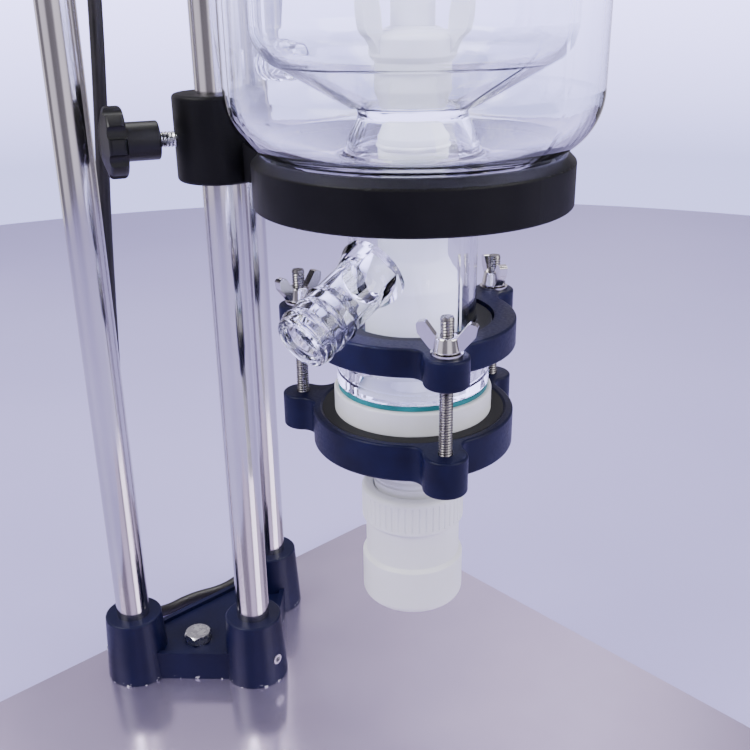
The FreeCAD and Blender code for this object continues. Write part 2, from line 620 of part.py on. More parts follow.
def wing_nut(centre, twist):
    """A cast wing nut: a hub with two rounded ears."""
    hub_r, hub_h = size("wing_hub"), size("wing_hub_height")
    shape = spun([(0, 0), (hub_r, 0, 1), (hub_r - 1.6, hub_h, 1.5), (0, hub_h)])
    thick = size("wing_thick")
    for side in (1, -1):
        ear = [Vector(side * 2, 0, 1), Vector(side * (hub_r + 1), 0, 1.5),
               Vector(side * (size("wing_span") - 1), 0, size("wing_height") - 7),
               Vector(side * size("wing_span"), 0, size("wing_height") - 1),
               Vector(side * (size("wing_span") - 5), 0, size("wing_height")),
               Vector(side * (hub_r - 2), 0, hub_h), Vector(side * 2, 0, hub_h - 1)]
        plate = Part.Face(Part.makePolygon(ear + ear[:1])).extrude(Vector(0, thick, 0))
        plate.translate(Vector(0, -thick / 2, 0))
        rim = [e for e in plate.Edges if min(v.Z for v in e.Vertexes) > size("wing_height") - 8
               and abs(e.tangentAt(e.FirstParameter).y) > 0.99]
        shape = shape.fuse(plate.makeFillet(1.8, rim))
    shape = shape.cut(rod(size("rod_radius + thread_gap"), Vector(0, 0, -1), Vector(0, 0, 40)))
    shape.Placement = FreeCAD.Placement(centre, FreeCAD.Rotation(UP, twist))
    return shape


for i, angle in enumerate(lug_angles, start=1):
    centre = polar(angle, size("lug_circle"), high_top + size("stack_gap"), vessel)
    washer_top = centre + UP * size("rod_washer")
    solid("rod_washer_%d" % i, tube(size("rod_washer_radius"), size("rod_radius") + 0.1, centre, washer_top))
    solid("wing_nut_%d" % i, wing_nut(washer_top + UP * size("stack_gap"), angle + 62))

# ------------------------------------------------------------------ drain valve
collar = size("collar_radius")
stem = size("stem_radius")
stem_hole = stem + size("slide_gap")
body = spun([(stem_hole, size("collar_z")), (collar, size("collar_z"), 1.5), (collar, low_z + 3),
             (hole_radius - 18 - cup_gap, low_z + 6), (hole_radius - 18 - cup_gap, flange_z),
             (flange_r, flange_z, 1.5), (flange_r, gasket_base, 1.5), (stem_hole, gasket_base)], vessel)
solid("valve_body", body)
plug_r = size("waist_inner - plug_tip_play")
low_r = size("neck_radius - glass_wall - plug_play")
shoulder = size("plug_shoulder_z")
plug_top = size("plug_top_z")
knob_floor = size("valve_knob_z + valve_knob_wall")
plug = spun([(0, knob_floor + 1), (stem, knob_floor + 1, 1), (stem, gasket_base + 18, 2), (low_r, gasket_base + 18, 3),
             (low_r, shoulder, 6), (plug_r, shoulder + 16, 6), (plug_r, plug_top - 14, 3),
             (plug_r - 7, plug_top, 2), (0, plug_top)], vessel)
seal = size("o_ring")
rings = []
for height in (plug_top - 20, shoulder + 34):
    line = Part.makeTorus(plug_r - seal * 0.3, seal, vessel + UP * height)
    groove = Part.makeTorus(plug_r - seal * 0.3, seal + 0.1, vessel + UP * height)
    rings.append(line)
    plug = plug.cut(groove)
solid("drain_plug", plug)
solid("plug_seals", Part.makeCompound(rings))

kr = size("valve_knob_radius")
kw = size("valve_knob_waist")
kh = size("valve_knob_height")
kz = size("valve_knob_z")
inside = collar + 0.6
knob = spun([(0, 0), (kr, 0, 5), (kr, size("waist_low") - 2, 1), (kw, size("waist_low"), 1),
             (kw, size("waist_high"), 1), (kr, size("waist_high") + 2, 1), (kr, kh, 3),
             (inside, kh, 1), (inside, size("valve_knob_wall")), (0, size("valve_knob_wall"))])
for i in range(int(size("flutes"))):
    spot = polar(i * 360 / size("flutes"), kr + size("flute_radius") * 0.35)
    cutter = rod(size("flute_radius"), spot + UP * (size("waist_high") + 4), spot + UP * (kh - 3.5))
    knob = knob.cut(cutter)
knob.translate(vessel + UP * kz)
solid("drain_knob", knob)

# ------------------------------------------------------------------ stirrer
shaft_r = size("shaft_radius")
hub_z = size("hub_z")
hub_top = size("hub_top")
hub_r = size("hub_radius")
solid("stirrer_shaft", spun([(0, hub_top - 14), (shaft_r - 5, hub_top - 14, 1), (shaft_r - 5, hub_top + 2),
                             (shaft_r, hub_top + 2, 1), (shaft_r, size("shaft_top")), (0, size("shaft_top"))],
                            vessel))
impeller = spun([(0, hub_z), (hub_r - 6, hub_z, 2), (hub_r - 2.5, hub_z + 10, 5), (hub_r - 3, hub_z + 18, 3),
                 (hub_r, hub_z + 24, 3), (hub_r, hub_top + 4, 4), (shaft_r + 0.4, hub_top + 9),
                 (shaft_r + 0.4, hub_top + 1), (shaft_r - 4.9, hub_top + 1), (shaft_r - 4.9, hub_top - 14.3),
                 (0, hub_top - 14.3)], vessel)
reach = size("prong_reach")
prong_top = size("prong_top")
blade = [Vector(hub_r - 4, 0, hub_top - 2), Vector(hub_r - 2, 0, hub_top + 7), Vector(reach - 6, 0, prong_top - 12),
         Vector(reach - 3, 0, prong_top), Vector(reach + 6, 0, prong_top), Vector(reach + 5, 0, prong_top - 22),
         Vector(hub_r + 3, 0, hub_top + 2), Vector(hub_r - 1, 0, hub_top - 10)]
half_prong = size("prong_width") / 2
for i in range(int(size("prong_count"))):
    spline = Part.BSplineCurve()
    spline.buildFromPoles(blade, True, 2)
    outline = Part.Face(Part.Wire(spline.toShape()))
    prong = outline.extrude(Vector(0, size("prong_width") * 0.5, 0))
    prong.translate(Vector(0, -half_prong * 0.5, 0))
    prong.Placement = FreeCAD.Placement(vessel, FreeCAD.Rotation(UP, 20 + i * 360 / size("prong_count"))
                                        ).multiply(prong.Placement)
    impeller = impeller.fuse(prong)
impeller = impeller.cut(rod(shaft_r + 0.3, vessel + UP * (hub_top + 1), vessel + UP * 700))
solid("impeller", impeller)

# ------------------------------------------------------------------ lid, seal, clamp, bearing, stoppers
seal_base = flange_top
lid_base = seal_base + size("seal_thick")
lid_top_z = lid_base + size("lid_thick")
flange_r2 = size("flange_radius")
solid("lid_seal", spun([(inner + 4, seal_base + 0.1), (flange_r2 - 4, seal_base + 0.1),
                        (flange_r2 - 4, lid_base - 0.1), (inner + 4, lid_base - 0.1)], vessel))
crown = lid_top_z + size("lid_dome")
lw = size("lid_wall")
cn = size("centre_neck")
lid = spun([(inner - 2, lid_base), (flange_r2, lid_base, 1), (flange_r2, lid_top_z, 4), (outer + 2, lid_top_z, 4),
            (outer - 14, crown, 10), (cn, crown, 4), (cn, size("lid_top"), 2), (cn - lw, size("lid_top"), 1),
            (cn - lw, crown - lw, 2), (outer - 18, crown - lw, 8), (inner - 2, lid_top_z - lw, 3)], vessel)
ports = [polar(size("port_first_angle") + i * 360 / size("port_count"), size("port_circle"), 0, vessel)
         for i in range(int(size("port_count")))]
for port in ports:
    lid = lid.fuse(rod(size("port_radius"), port + UP * (crown - lw), port + UP * size("port_top")))
for port in ports:
    lid = lid.cut(rod(size("port_bore"), port + UP * (crown - 30), port + UP * (size("port_top") + 1)))
solid("lid", lid)

cr = size("lid_clamp_radius")
clamp_low = vessel_top - size("lid_clamp_lip")
clamp_high = lid_top_z + size("lid_clamp_lip")
hold = flange_r2 + 0.6
band = spun([(hold, vessel_top - 0.6), (hold - 6, vessel_top - 1.2), (hold - 6, clamp_low), (cr, clamp_low, 3),
             (cr, clamp_high, 3), (hold - 6, clamp_high), (hold - 6, lid_top_z + 1.2), (hold, lid_top_z + 0.6)],
            vessel)
middle = (clamp_low + clamp_high) / 2
CLAMP_TURN = 118
turn = FreeCAD.Rotation(UP, CLAMP_TURN)
ears = []
for side in (1, -1):
    ear = Part.makeBox(20, 26, 22, Vector(-10, -13, -11))
    ear = ear.makeFillet(2, ear.Edges)
    ear.translate(Vector(side * (cr + 4), 0, middle))
    ears.append(ear)
shell = band.copy()
for ear in ears:
    ear.rotate(Vector(0, 0, 0), UP, CLAMP_TURN)
    ear.translate(vessel)
    shell = shell.fuse(ear.cut(rod(cr - 2, vessel, vessel + UP * 900)))
screws = []
for side in (1, -1):
    spot = vessel + turn.multVec(Vector(side * (cr + 7), 0, 0)) + UP * middle
    axis = turn.multVec(Vector(0, 1, 0))
    shell = shell.cut(rod(3.05, spot - axis * 20, spot + axis * 20))
    screws.append(rod(3, spot - axis * 16, spot + axis * 14).fuse(rod(5, spot + axis * 13.2, spot + axis * 18)))
for half, sign in (("front", -1), ("back", 1)):
    keep_box = Part.makeBox(400, 200, 200, Vector(-200, size("lid_clamp_gap") / 2, middle - 100))
    keep_box.rotate(Vector(0, 0, 0), UP, CLAMP_TURN + (0 if sign > 0 else 180))
    keep_box.translate(vessel)
    solid("lid_clamp_" + half, shell.common(keep_box))
solid("lid_clamp_screws", Part.makeCompound(screws))

bearing_top = size("lid_top") + size("bearing_height")
solid("stirrer_bearing", spun([
    (shaft_r + 0.06, size("lid_top") - 22), (size("bearing_radius"), size("lid_top") - 22, 1),
    (size("bearing_radius"), size("lid_top") + 0.3), (size("bearing_collar"), size("lid_top") + 0.3, 1.5),
    (size("bearing_collar"), size("lid_top") + 12), (size("bearing_collar") - 5, size("lid_top") + 12, 1),
    (size("bearing_collar") - 5, bearing_top, 2), (shaft_r + 0.06, bearing_top)], vessel))
for i, port in enumerate(ports, start=1):
    top = size("port_top")
    solid("port_stopper_%d" % i, spun([
        (0, -16), (size("port_bore") - 0.6, -16, 1), (size("port_bore") - 0.4, 0.3),
        (size("stopper_radius") - 2, 0.3, 1), (size("stopper_radius"), size("stopper_height"), 3),
        (0, size("stopper_height"))], port + UP * top))

# ------------------------------------------------------------------ coupling
cz = size("shaft_top") - size("coupling_half")
coup = size("coupling_radius")
jaws_low = cz + size("coupling_half + fit_gap")
jaw = size("jaw_height")


def jaw_ring(base, first_angle):
    """Three jaws of a claw coupling, each a sector between the bore and the rim."""
    spread = 60 - 22
    ring = tube(coup, 10, vessel + UP * base, vessel + UP * (base + jaw))
    parts = []
    for i in range(3):
        sector = Part.makeCylinder(coup + 1, jaw + 2, vessel + UP * (base - 1), UP, spread)
        sector.rotate(vessel, UP, first_angle + 120 * i - spread / 2)
        parts.append(ring.common(sector))
    return parts


low_half = tube(coup, shaft_r + 0.05, vessel + UP * cz, vessel + UP * size("shaft_top"))
cap = rod(coup, vessel + UP * size("shaft_top"), vessel + UP * (size("shaft_top") + 3))
low_half = low_half.fuse(cap)
jaw_base = size("shaft_top") + 3
for piece in jaw_ring(jaw_base - 0.01, 0):
    low_half = low_half.fuse(piece)
solid("coupling_lower", low_half)
high_base = jaw_base + jaw + size("jaw_gap")
high_half = tube(coup, size("spindle_radius + slide_gap"), vessel + UP * high_base,
                 vessel + UP * (high_base + size("coupling_half")))
for piece in jaw_ring(jaw_base + size("jaw_gap"), 60):
    high_half = high_half.fuse(piece)
solid("coupling_upper", high_half)
spider = rod(coup - 14, vessel + UP * (jaw_base + 0.5), vessel + UP * (jaw_base + jaw - 0.5))
for i in range(6):
    leg = Part.makeBox(coup - 3, 3.4, jaw - 1, Vector(0, -1.7, jaw_base + 0.5))
    leg.rotate(Vector(0, 0, 0), UP, 30 + 60 * i)
    leg.translate(vessel)
    spider = spider.fuse(leg)
solid("coupling_spider", spider)

# ------------------------------------------------------------------ motor lead
LEAD_ROUTE = [
    (-29, 28.6, 880), (-54, 20, 886), (-80, 12, 891), (-107, 3, 893), (-134, -6, 891),
    (-160, -13, 881), (-184, -18, 861), (-200, -20, 830), (-209, -20, 790), (-214, -20, 730),
    (-217, -20, 660), (-219, -20, 590), (-220, -22, 520), (-222, -26, 450), (-225, -31, 380),
    (-228, -34, 310), (-232, -36, 240), (-238, -38, 175), (-244, -41, 120),
    (-248, -44, 84), (-248, -44, 46), (-251, -29, 20), (-256, -4, 5.2), (-258, 26, 5.2),
    (-247, 56, 5.2), (-238, 81, 20), (-233, 95, 46), (-233, 95, 80), (-233, 94, 113),
    (-232, 93, 170), (-231, 90, 240), (-230, 90, 306), (-229, 91, 372), (-226, 93, 432),
    (-219, 95, 484), (-208, 97, 524), (-197, 98, 548), (-192.6, 98.1, 573), (-192.6, 98.1, 598)]


def lead_path(points):
    """Straight runs joined by tangent arcs as large as the runs allow."""
    share = 0.45
    edges = []
    here = points[0]
    length = 0
    radii = []
    for before, corner, after in zip(points, points[1:], points[2:]):
        back, ahead = before - corner, after - corner
        reach = share * min(back.Length, ahead.Length)
        half = back.getAngle(ahead) / 2
        radius = reach * math.tan(half)
        first = corner + back.normalize() * reach
        last = corner + ahead.normalize() * reach
        middle = corner + (back + ahead).normalize() * (radius / math.sin(half) - radius)
        edges.append(Part.LineSegment(here, first).toShape())
        edges.append(Part.Arc(first, middle, last).toShape())
        length += here.distanceToPoint(first) + radius * (math.pi - 2 * half)
        radii.append(round(radius, 1))
        here = last
    edges.append(Part.LineSegment(here, points[-1]).toShape())
    return Part.Wire(edges), length + here.distanceToPoint(points[-1]), radii


lead_points = [Vector(*point) for point in LEAD_ROUTE]
path, lead_length, lead_radii = lead_path(lead_points)
lead_r = size("lead_radius")
lead_section = Part.Wire(Part.makeCircle(lead_r, lead_points[0], lead_points[1] - lead_points[0]))
lead = path.makePipeShell([lead_section], True, False)
print("lead radii", lead_radii)
print("lead length", round(lead_length), "volume ratio", lead.Volume / (math.pi * lead_r ** 2 * lead_length))
solid("motor_lead", lead)


def gland(base, direction, back):
    """A tapered strain relief on a collar, with a spigot that reaches back into the housing."""
    length = size("gland_length")
    shape = Part.makeCone(size("gland_radius"), lead_r + 1.2, length, base, direction)
    shape = shape.fuse(rod(size("gland_radius") + 2, base, base + direction * 6))
    return shape.fuse(rod(6, base - direction * back, base))


def bored(shape, base, direction):
    return shape.cut(rod(lead_r + 0.02, base - direction * 40, base + direction * 60))


# ------------------------------------------------------------------ motor arm and motor
arm_z = size("motor_arm_z")
arm_h = size("motor_arm_height")
plate_h = size("motor_plate")
holder = spun([(0, 0), (size("boss_radius"), 0, 2.5), (size("boss_radius"), arm_h, 2.5), (0, arm_h)],
              boss_axis + UP * arm_z)
beam = Part.makeBox(size("vessel_reach"), 26, 18, Vector(0, -13, arm_z + 3))
beam.Placement = FreeCAD.Placement(boss_axis, FreeCAD.Rotation(UP, size("vessel_angle")))
beam = beam.fuse(rod(size("motor_plate_radius"), vessel + UP * (arm_z + 3), vessel + UP * (arm_z + 3 + plate_h)))
beam = beam.cut(rod(size("motor_radius") + 1, vessel + UP * (arm_z + 3 + plate_h), vessel + UP * 900))
holder = holder.fuse(beam)
holder = holder.cut(rod(size("post_radius + slide_gap"), boss_axis, boss_axis + UP * 900))
holder = holder.cut(rod(size("spindle_radius") + 4, vessel, vessel + UP * 900))
motor_floor = arm_z + 3 + plate_h + size("fit_gap")
motor_top = motor_floor + size("motor_height")
motor = spun([(0, motor_floor), (size("motor_radius"), motor_floor, 3), (size("motor_radius"), motor_top, 8),
              (0, motor_top)], vessel)
motor = motor.cut(spun([(0, motor_floor - 1), (size("spindle_radius + slide_gap"), motor_floor - 1),
                        (size("spindle_radius + slide_gap"), motor_floor + 30), (0, motor_floor + 30)], vessel))
bolts = []
for i in range(4):
    spot = polar(45 + 90 * i + size("vessel_angle"), size("motor_screw_circle"), 0, vessel)
    r = size("motor_screw_radius")
    bolts.append(rod(r, spot + UP * (arm_z + 3), spot + UP * (motor_floor + 12))
                 .fuse(rod(r * 1.8, spot + UP * (arm_z - 2), spot + UP * (arm_z + 3))))
    hole = rod(r + 0.05, spot + UP * (arm_z + 2.9), spot + UP * (motor_floor + 12.1))
    holder = holder.cut(hole)
    motor = motor.cut(hole)
lock_axis = boss_axis + UP * (arm_z + arm_h / 2)
lock_out = polar(size("knob_angle"), 1)
holder = holder.cut(rod(4.05, lock_axis, lock_axis + lock_out * 60))
solid("motor_arm", holder)
lead_out = (lead_points[1] - lead_points[0]).normalize()
motor_gland = gland(lead_points[0], lead_out, 5)
motor = motor.cut(motor_gland)
lock = rod(4, lock_axis + lock_out * pad_start, lock_axis + lock_out * (size("boss_radius") + 3))
lock = lock.fuse(rod(6.5, lock_axis + lock_out * (size("boss_radius") + 0.3),
                     lock_axis + lock_out * (size("boss_radius") + 8.3)))
lock = lock.cut(hexagon(6, 5, lock_axis + lock_out * (size("boss_radius") + 4.3), lock_out))
solid("motor_housing", motor)
solid("motor_fasteners", Part.makeCompound(bolts + [lock]))
solid("motor_spindle", rod(size("spindle_radius"), vessel + UP * (high_base + 0.5),
                           vessel + UP * (motor_floor + 29)))

# ------------------------------------------------------------------ controller on the rear post
box_d, box_w, box_h = size("box_depth"), size("box_width"), size("box_height")
rear = posts["rear"]
box_y = rear.y + size("post_radius + box_gap")
box_low = Vector(rear.x - box_d / 2, box_y, size("box_z"))
case = Part.makeBox(box_d, box_w, box_h, box_low)
case = case.makeFillet(size("box_corner"), [e for e in case.Edges if vertical(e)])
bw = size("box_wall")
cavity = Part.makeBox(box_d, box_w - 2 * bw, box_h - 2 * bw, box_low + Vector(bw, bw, bw))
case = case.cut(cavity)
face_x = box_low.x + box_d
case = case.cut(Part.makeBox(size("cover_thick"), box_w, box_h, Vector(face_x - size("cover_thick"), box_y, box_low.z)))
lead_in = Vector(rear.x - 6, box_y + 15, box_low.z)
case_gland = gland(lead_in, UP * -1, bw)
case = case.cut(case_gland)
solid("lead_glands", Part.makeCompound([bored(motor_gland, lead_points[0], lead_out),
                                        bored(case_gland, lead_in, UP)]))
solid("controller_case", case)
cover = Part.makeBox(size("cover_thick") - 0.2, box_w, box_h,
                     Vector(face_x - size("cover_thick") + 0.2, box_y, box_low.z))
cover = cover.makeFillet(1.2, [e for e in cover.Edges
                               if min(v.X for v in e.Vertexes) > face_x - 0.1])
dial_at = Vector(face_x, box_y + box_w * 0.34, box_low.z + box_h * 0.36)
switch_at = Vector(face_x, box_y + box_w * 0.76, box_low.z + box_h * 0.36)
cover = cover.cut(rod(3.06, dial_at - Vector(20, 0, 0), dial_at + Vector(5, 0, 0)))
sw, sh = size("switch_width"), size("switch_height")
window = Part.makeBox(20, sw + 0.8, sh + 2.4, switch_at + Vector(-10, -sw / 2 - 0.4, -sh / 2 - 1.2))
cover = cover.cut(window)
screen_w, screen_h = box_w * 0.62, box_h * 0.24
screen_at = Vector(face_x - 1.6, box_y + box_w * 0.19, box_low.z + box_h * 0.62)
cover = cover.cut(Part.makeBox(5, screen_w, screen_h, screen_at))
solid("controller_cover", cover)
solid("controller_screen", Part.makeBox(1.5, screen_w - 0.4, screen_h - 0.4, screen_at + Vector(0.1, 0.2, 0.2)))
dial = spun([(0, 0), (size("dial_radius"), 0, 1), (size("dial_radius") - 1.5, size("dial_height"), 2),
             (0, size("dial_height"))])
dial = dial.fuse(rod(3, Vector(0, 0, 1), Vector(0, 0, -10)))
dial = dial.cut(Part.makeBox(14, 1.2, 2, Vector(2, -0.6, size("dial_height") - 0.8)))
dial.Placement = FreeCAD.Placement(dial_at + Vector(0.4, 0, 0), FreeCAD.Rotation(UP, Vector(1, 0, 0)))
solid("speed_dial", dial)
rocker_side = [Vector(-4, 0, -sh / 2), Vector(2.6, 0, -sh / 2), Vector(0.8, 0, 0), Vector(0.2, 0, sh / 2),
               Vector(-4, 0, sh / 2), Vector(-6, 0, 0)]
rocker = Part.Face(Part.makePolygon(rocker_side + rocker_side[:1])).extrude(Vector(0, sw, 0))
rocker.translate(switch_at + Vector(0, -sw / 2, 0))
solid("power_switch", rocker)
clip_in = rod(size("post_radius + slide_gap"), rear, rear + UP * 900)
saddles = []
for height in (box_low.z + 20, box_low.z + box_h - 38):
    saddle = rod(size("post_radius") + 5, rear + UP * height, rear + UP * (height + 18))
    foot_box = Part.makeBox(26, size("post_radius + box_gap"), 18, Vector(rear.x - 13, rear.y, height))
    lug = saddle.fuse(foot_box).cut(clip_in)
    saddles.append(lug.cut(Part.makeBox(200, 200, 400, Vector(rear.x - 100, box_y - 0.1, height - 50))))
solid("controller_saddles", Part.makeCompound(saddles))


# ------------------------------------------------------------------ check and write
doc.recompute()
for item in doc.Objects:
    if "Invalid" in item.State or "Error" in item.State:
        raise RuntimeError(item.Name + " did not recompute")
for item in nodes:
    if item.Shape.isNull() or not item.Shape.isValid():
        raise RuntimeError(item.Label + " has no valid shape")
os.makedirs("parts", exist_ok=True)
for item in nodes:
    item.Shape.exportStep("parts/" + item.Label + ".step")
print(len(nodes), "sub-parts written")
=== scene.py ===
"""Looks for the jacketed glass reactor: materials, screw threads, the motor lead, stage and camera."""
import json
import math

import bmesh
import bpy
from mathutils import Matrix, Vector


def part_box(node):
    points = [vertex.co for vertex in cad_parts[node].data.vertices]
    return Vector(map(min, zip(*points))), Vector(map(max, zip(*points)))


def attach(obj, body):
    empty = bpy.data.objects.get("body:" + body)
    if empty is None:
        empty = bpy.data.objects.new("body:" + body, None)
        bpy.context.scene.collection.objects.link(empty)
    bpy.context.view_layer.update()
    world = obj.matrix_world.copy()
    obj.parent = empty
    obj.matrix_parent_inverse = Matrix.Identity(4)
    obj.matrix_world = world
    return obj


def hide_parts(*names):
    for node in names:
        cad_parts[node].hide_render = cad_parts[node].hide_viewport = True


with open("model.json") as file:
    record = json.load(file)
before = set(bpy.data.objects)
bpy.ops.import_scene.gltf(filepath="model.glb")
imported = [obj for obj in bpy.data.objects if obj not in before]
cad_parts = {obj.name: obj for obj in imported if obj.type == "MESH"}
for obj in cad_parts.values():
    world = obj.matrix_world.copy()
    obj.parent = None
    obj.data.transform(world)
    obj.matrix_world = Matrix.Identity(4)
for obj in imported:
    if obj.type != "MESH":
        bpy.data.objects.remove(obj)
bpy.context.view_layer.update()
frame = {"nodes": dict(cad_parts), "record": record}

MM = 0.001
nodes = frame["nodes"]


# ------------------------------------------------------------------ camera
CAMERA_PLACE = Vector((410.0, -353.2, 527.4)) * MM
CAMERA_YAW = math.radians(47.5)
CAMERA_PITCH = math.radians(22.13)
CAMERA_ROLL = math.radians(0.87)
SENSOR_WIDTH = 36
FOCAL_LENGTH = 46.5


def add_camera():
    """Stands off the corner of the base plate at +X and -Y, looking down at the drain valve."""
    yaw, pitch, roll = CAMERA_YAW, CAMERA_PITCH, CAMERA_ROLL
    level = Vector((-math.sin(yaw), math.cos(yaw), 0))
    right = Vector((math.cos(yaw), math.sin(yaw), 0))
    forward = level * math.cos(pitch) - Vector((0, 0, math.sin(pitch)))
    down = forward.cross(right)
    image_right = right * math.cos(roll) + down * math.sin(roll)
    image_up = right * math.sin(roll) - down * math.cos(roll)
    turn = Matrix((image_right, image_up, -forward)).transposed().to_4x4()
    data = bpy.data.cameras.new("camera")
    data.sensor_width = SENSOR_WIDTH
    data.lens = FOCAL_LENGTH
    data.clip_start = 0.02
    camera = bpy.data.objects.new("camera", data)
    camera.matrix_world = Matrix.Translation(CAMERA_PLACE) @ turn
    bpy.context.scene.collection.objects.link(camera)
    bpy.context.scene.camera = camera


add_camera()

# ------------------------------------------------------------------ motor lead
LEAD_RADIUS = 4.8 * MM
LEAD_ROUTE = [
    (-29, 28.6, 880), (-54, 20, 886), (-80, 12, 891), (-107, 3, 893), (-134, -6, 891),
    (-160, -13, 881), (-184, -18, 861), (-200, -20, 830), (-209, -20, 790), (-214, -20, 730),
    (-217, -20, 660), (-219, -20, 590), (-220, -22, 520), (-222, -26, 450), (-225, -31, 380),
    (-228, -34, 310), (-232, -36, 240), (-238, -38, 175), (-244, -41, 120),
    (-248, -44, 84), (-248, -44, 46), (-251, -29, 20), (-256, -4, 5.2), (-258, 26, 5.2),
    (-247, 56, 5.2), (-238, 81, 20), (-233, 95, 46), (-233, 95, 80), (-233, 94, 113),
    (-232, 93, 170), (-231, 90, 240), (-230, 90, 306), (-229, 91, 372), (-226, 93, 432),
    (-219, 95, 484), (-208, 97, 524), (-197, 98, 548), (-192.6, 98.1, 573), (-192.6, 98.1, 598)]


def add_lead():
    curve = bpy.data.curves.new("motor_lead_flex", "CURVE")
    curve.dimensions = "3D"
    curve.bevel_depth = LEAD_RADIUS
    curve.bevel_resolution = 6
    curve.resolution_u = 10
    spline = curve.splines.new("NURBS")
    spline.points.add(len(LEAD_ROUTE) - 1)
    for point, place in zip(spline.points, LEAD_ROUTE):
        point.co = (place[0] * MM, place[1] * MM, place[2] * MM, 1)
    spline.order_u = 3
    spline.use_endpoint_u = True
    lead = bpy.data.objects.new("motor_lead_flex", curve)
    bpy.context.scene.collection.objects.link(lead)
    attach(lead, "stand")
    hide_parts("motor_lead")
    return lead


lead = add_lead()


# ------------------------------------------------------------------ material kit
class Finish:
    """A material with its shader and short ways to add procedural nodes."""

    def __init__(self, name, color, roughness, **sockets):
        self.material = bpy.data.materials.new(name)
        self.material.use_nodes = True
        self.tree = self.material.node_tree
        self.shader = self.tree.nodes["Principled BSDF"]
        self.set("Base Color", (*color, 1))
        self.set("Roughness", roughness)
        for socket, value in sockets.items():
            self.set(socket.replace("_", " "), value)

    def set(self, socket, value):
        self.shader.inputs[socket].default_value = value

    def node(self, kind, **settings):
        made = self.tree.nodes.new(kind)
        for key, value in settings.items():
            setattr(made, key, value)
        return made

    def link(self, source, target):
        self.tree.links.new(source, target)

    def coordinates(self, stretch=(1, 1, 1)):
        """Object coordinates in metres, stretched along each axis."""
        place = self.node("ShaderNodeTexCoord")
        mapping = self.node("ShaderNodeMapping")
        mapping.inputs["Scale"].default_value = stretch
        self.link(place.outputs["Object"], mapping.inputs["Vector"])
        return mapping.outputs["Vector"]

    def noise(self, scale, detail=4, roughness=0.5, stretch=(1, 1, 1), distortion=0):
        made = self.node("ShaderNodeTexNoise")
        made.inputs["Scale"].default_value = scale
        made.inputs["Detail"].default_value = detail
        made.inputs["Roughness"].default_value = roughness
        made.inputs["Distortion"].default_value = distortion
        self.link(self.coordinates(stretch), made.inputs["Vector"])
        return made.outputs["Fac"]

    def ramp(self, source, stops):
        made = self.node("ShaderNodeValToRGB")
        elements = made.color_ramp.elements
        while len(elements) < len(stops):
            elements.new(0.5)
        for element, (position, color) in zip(elements, stops):
            element.position = position
            element.color = (*color, 1) if len(color) == 3 else color
        self.link(source, made.inputs["Fac"])
        return made.outputs["Color"]

    def span(self, source, low, high, from_low=0.0, from_high=1.0):
        made = self.node("ShaderNodeMapRange")
        limits = {"From Min": from_low, "From Max": from_high, "To Min": low, "To Max": high}
        for socket, value in limits.items():
            made.inputs[socket].default_value = value
        self.link(source, made.inputs["Value"])
        return made.outputs["Result"]

    def mix(self, factor, first, second):
        made = self.node("ShaderNodeMix", data_type="RGBA")
        self.link(factor, made.inputs["Factor"])
        for socket, value in ((made.inputs[6], first), (made.inputs[7], second)):
            if isinstance(value, tuple):
                socket.default_value = (*value, 1)
            else:
                self.link(value, socket)
        return made.outputs[2]

    def math(self, operation, first, second):
        made = self.node("ShaderNodeMath", operation=operation)
        for socket, value in zip(made.inputs, (first, second)):
            if isinstance(value, (int, float)):
                socket.default_value = value
            else:
                self.link(value, socket)
        return made.outputs[0]

    def bump(self, *layers):
        """Stacks (height, strength, distance) layers of bump on the shader's normal."""
        normal = None
        for height, strength, distance in layers:
            made = self.node("ShaderNodeBump")
            made.inputs["Strength"].default_value = strength
            made.inputs["Distance"].default_value = distance
            self.link(height, made.inputs["Height"])
            if normal:
                self.link(normal, made.inputs["Normal"])
            normal = made.outputs["Normal"]
        self.link(normal, self.shader.inputs["Normal"])

    def vary_color(self, source, low, high, spread=(0.35, 0.65)):
        self.link(self.ramp(source, [(spread[0], low), (spread[1], high)]), self.shader.inputs["Base Color"])

    def vary_roughness(self, source, low, high):
        self.link(self.span(source, low, high, 0.3, 0.7), self.shader.inputs["Roughness"])


# ------------------------------------------------------------------ finishes
def polished_tube():
    """Ground and polished stainless tube: long faint draw marks and soft smears."""
    finish = Finish("stainless_tube", (0.60, 0.58, 0.58), 0.16, Metallic=1.0)
    draw = finish.noise(900, 3, stretch=(1, 1, 0.012))
    smear = finish.noise(18, 5, stretch=(1, 1, 0.4), distortion=0.4)
    finish.vary_color(smear, (0.54, 0.52, 0.52), (0.64, 0.62, 0.62))
    both = finish.math("ADD", finish.math("MULTIPLY", draw, 0.5), finish.math("MULTIPLY", smear, 0.5))
    finish.vary_roughness(both, 0.08, 0.20)
    finish.bump((draw, 0.05, 0.0002), (smear, 0.04, 0.002))
    return finish.material


def bright_steel(name="bright_steel", color=(0.72, 0.72, 0.73), low=0.18, high=0.34, scale=260):
    """Zinc-plated or turned steel with a fine uneven sheen."""
    finish = Finish(name, color, 0.25, Metallic=1.0)
    grain = finish.noise(scale, 6)
    cloud = finish.noise(45, 3)
    finish.vary_color(cloud, tuple(c * 0.86 for c in color), tuple(min(1, c * 1.1) for c in color))
    finish.vary_roughness(grain, low, high)
    finish.bump((grain, 0.12, 0.0003))
    return finish.material


